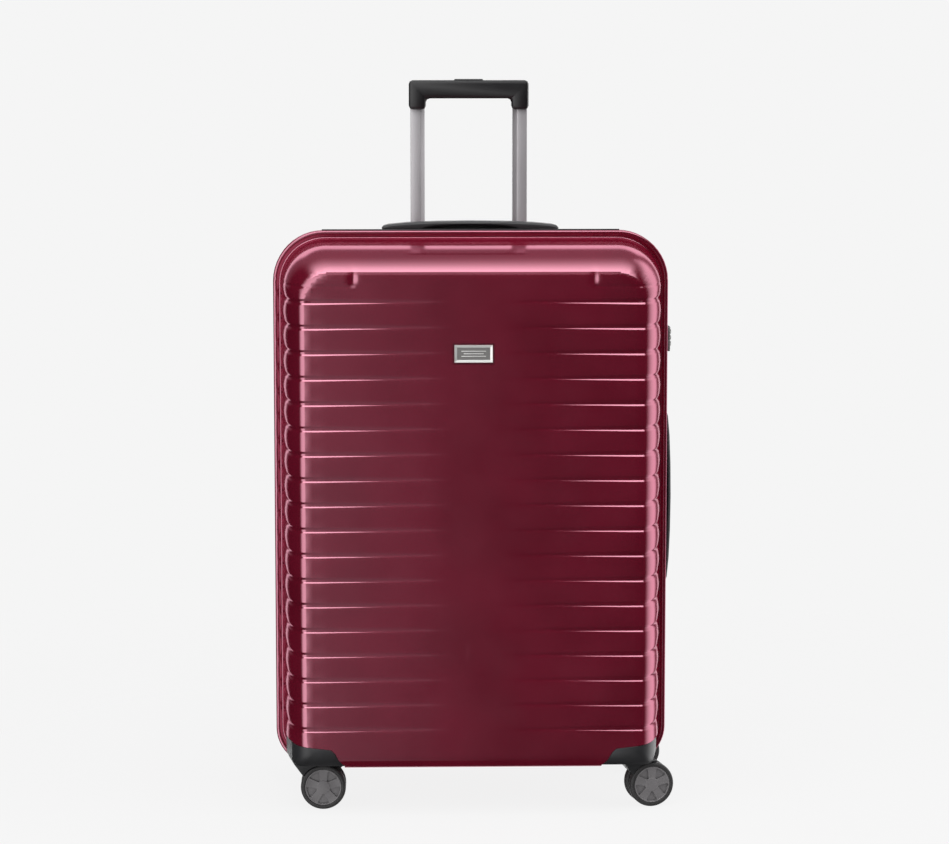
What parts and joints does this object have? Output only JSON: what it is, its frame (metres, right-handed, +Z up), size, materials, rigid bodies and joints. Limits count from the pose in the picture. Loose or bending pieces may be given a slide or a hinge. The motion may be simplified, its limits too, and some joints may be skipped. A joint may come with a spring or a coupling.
{
  "type": "hard shell suitcase",
  "caption": "Large upright hard shell suitcase with ribbed zip-closed shells, twin-wheel swivel casters, telescopic trolley handle, carry handles and a dial lock",
  "frame": {"origin": "on the floor under the middle of the case", "axes": "+Z up, the front face looks along -Y, the lock and side handle are on +X and the lid's hinge on -X"},
  "size_m": [0.5205, 0.3009, 0.9316],
  "materials": {
    "shell": "polished",
    "plastic": "moulded",
    "grip": "fine grained",
    "tube": "satin anodised",
    "steel": "plain",
    "badge": "brushed",
    "rubber": "matte",
    "hub": "satin",
    "lining": "woven",
    "tape": "woven",
    "strap": "webbing"
  },
  "bodies": {
    "rear_half": {"rear_shell": "shell", "rear_lining": "lining", "rear_zip_tape": "tape", "hinge_tape": "tape", "trolley_bezel": "plastic", "outer_tube_left": "tube", "outer_tube_right": "tube", "tube_foot_bar": "plastic", "top_handle_base": "plastic", "side_handle_base": "plastic", "lock_body": "plastic", "lock_spindle": "steel", "packing_strap": "strap", "strap_buckle": "plastic", "rear_left_housing": "plastic", "rear_right_housing": "plastic"},
    "front_half": {"front_shell": "shell", "front_lining": "lining", "front_zip_tape": "tape", "badge_plate": "badge", "front_left_housing": "plastic", "front_right_housing": "plastic"},
    "trolley": {"inner_tube_left": "tube", "inner_tube_right": "tube", "trolley_grip": "grip"},
    "release": {"grip_button": "plastic", "release_rod_left": "tube", "release_rod_right": "tube"},
    "top_handle": {"top_handle_grip": "grip"},
    "side_handle": {"side_handle_grip": "grip"},
    "dial_1": {"lock_dial_1": "badge"},
    "dial_2": {"lock_dial_2": "badge"},
    "dial_3": {"lock_dial_3": "badge"},
    "lock_catch": {"lock_button": "badge"},
    "upper_slider": {"zip_slider_upper": "steel"},
    "lower_slider": {"zip_slider_lower": "steel"},
    "front_left_caster": {"front_left_fork": "plastic", "front_left_axle": "steel"},
    "front_left_outer_wheel": {"front_left_outer_hub": "hub", "front_left_outer_tyre": "rubber"},
    "front_left_inner_wheel": {"front_left_inner_hub": "hub", "front_left_inner_tyre": "rubber"},
    "front_right_caster": {"front_right_fork": "plastic", "front_right_axle": "steel"},
    "front_right_outer_wheel": {"front_right_outer_hub": "hub", "front_right_outer_tyre": "rubber"},
    "front_right_inner_wheel": {"front_right_inner_hub": "hub", "front_right_inner_tyre": "rubber"},
    "rear_left_caster": {"rear_left_fork": "plastic", "rear_left_axle": "steel"},
    "rear_left_outer_wheel": {"rear_left_outer_hub": "hub", "rear_left_outer_tyre": "rubber"},
    "rear_left_inner_wheel": {"rear_left_inner_hub": "hub", "rear_left_inner_tyre": "rubber"},
    "rear_right_caster": {"rear_right_fork": "plastic", "rear_right_axle": "steel"},
    "rear_right_outer_wheel": {"rear_right_outer_hub": "hub", "rear_right_outer_tyre": "rubber"},
    "rear_right_inner_wheel": {"rear_right_inner_hub": "hub", "rear_right_inner_tyre": "rubber"}
  },
  "joints": [
    {"name": "lid_hinge", "type": "hinge", "parent": "rear_half", "child": "front_half", "pos_m": [-0.2575, 0, 0.385], "axis": [0, 0, -1], "range_deg": [0, 180]},
    {"name": "trolley_slide", "type": "slide", "parent": "rear_half", "child": "trolley", "axis": [0, 0, 1], "range_m": [-0.208, 0.1]},
    {"name": "release_press", "type": "slide", "parent": "trolley", "child": "release", "axis": [0, 0, -1], "range_m": [0, 0.004], "stiffness_N_per_m": 500, "springref_m": -0.006},
    {"name": "top_handle_pull", "type": "slide", "parent": "rear_half", "child": "top_handle", "axis": [0, 0, 1], "range_m": [0, 0.014], "stiffness_N_per_m": 150, "springref_m": -0.01},
    {"name": "side_handle_pull", "type": "slide", "parent": "rear_half", "child": "side_handle", "axis": [1, 0, 0], "range_m": [0, 0.014], "stiffness_N_per_m": 150, "springref_m": -0.01},
    {"name": "dial_1_turn", "type": "hinge", "parent": "rear_half", "child": "dial_1", "pos_m": [0.2548, 0.0246, 0.6033], "axis": [0, 0, 1], "continuous": true},
    {"name": "dial_2_turn", "type": "hinge", "parent": "rear_half", "child": "dial_2", "pos_m": [0.2548, 0.0246, 0.5955], "axis": [0, 0, 1], "continuous": true},
    {"name": "dial_3_turn", "type": "hinge", "parent": "rear_half", "child": "dial_3", "pos_m": [0.2548, 0.0246, 0.5877], "axis": [0, 0, 1], "continuous": true},
    {"name": "lock_catch_press", "type": "slide", "parent": "rear_half", "child": "lock_catch", "axis": [-1, 0, 0], "range_m": [0, 0.0015], "stiffness_N_per_m": 800, "springref_m": -0.003},
    {"name": "upper_slider_run", "type": "slide", "parent": "rear_half", "child": "upper_slider", "axis": [0, 0, 1], "range_m": [0, 0.059]},
    {"name": "lower_slider_run", "type": "slide", "parent": "rear_half", "child": "lower_slider", "axis": [0, 0, 1], "range_m": [-0.482, 0]},
    {"name": "front_left_swivel", "type": "hinge", "parent": "front_half", "child": "front_left_caster", "pos_m": [-0.2104, -0.098, 0.058], "axis": [0, 0, 1], "continuous": true},
    {"name": "front_left_outer_roll", "type": "hinge", "parent": "front_left_caster", "child": "front_left_outer_wheel", "pos_m": [-0.1924, -0.098, 0.029], "axis": [0, 1, 0], "continuous": true},
    {"name": "front_left_inner_roll", "type": "hinge", "parent": "front_left_caster", "child": "front_left_inner_wheel", "pos_m": [-0.1924, -0.098, 0.029], "axis": [0, 1, 0], "continuous": true},
    {"name": "front_right_swivel", "type": "hinge", "parent": "front_half", "child": "front_right_caster", "pos_m": [0.2104, -0.098, 0.058], "axis": [0, 0, 1], "continuous": true},
    {"name": "front_right_outer_roll", "type": "hinge", "parent": "front_right_caster", "child": "front_right_outer_wheel", "pos_m": [0.22801, -0.09426, 0.029], "axis": [-0.2079, 0.9781, 0], "continuous": true},
    {"name": "front_right_inner_roll", "type": "hinge", "parent": "front_right_caster", "child": "front_right_inner_wheel", "pos_m": [0.22801, -0.09426, 0.029], "axis": [-0.2079, 0.9781, 0], "continuous": true},
    {"name": "rear_left_swivel", "type": "hinge", "parent": "rear_half", "child": "rear_left_caster", "pos_m": [-0.2104, 0.098, 0.058], "axis": [0, 0, 1], "continuous": true},
    {"name": "rear_left_outer_roll", "type": "hinge", "parent": "rear_left_caster", "child": "rear_left_outer_wheel", "pos_m": [-0.1924, 0.098, 0.029], "axis": [0, 1, 0], "continuous": true},
    {"name": "rear_left_inner_roll", "type": "hinge", "parent": "rear_left_caster", "child": "rear_left_inner_wheel", "pos_m": [-0.1924, 0.098, 0.029], "axis": [0, 1, 0], "continuous": true},
    {"name": "rear_right_swivel", "type": "hinge", "parent": "rear_half", "child": "rear_right_caster", "pos_m": [0.2104, 0.098, 0.058], "axis": [0, 0, 1], "continuous": true},
    {"name": "rear_right_outer_roll", "type": "hinge", "parent": "rear_right_caster", "child": "rear_right_outer_wheel", "pos_m": [0.2284, 0.098, 0.029], "axis": [0, 1, 0], "continuous": true},
    {"name": "rear_right_inner_roll", "type": "hinge", "parent": "rear_right_caster", "child": "rear_right_inner_wheel", "pos_m": [0.2284, 0.098, 0.029], "axis": [0, 1, 0], "continuous": true}
  ]
}
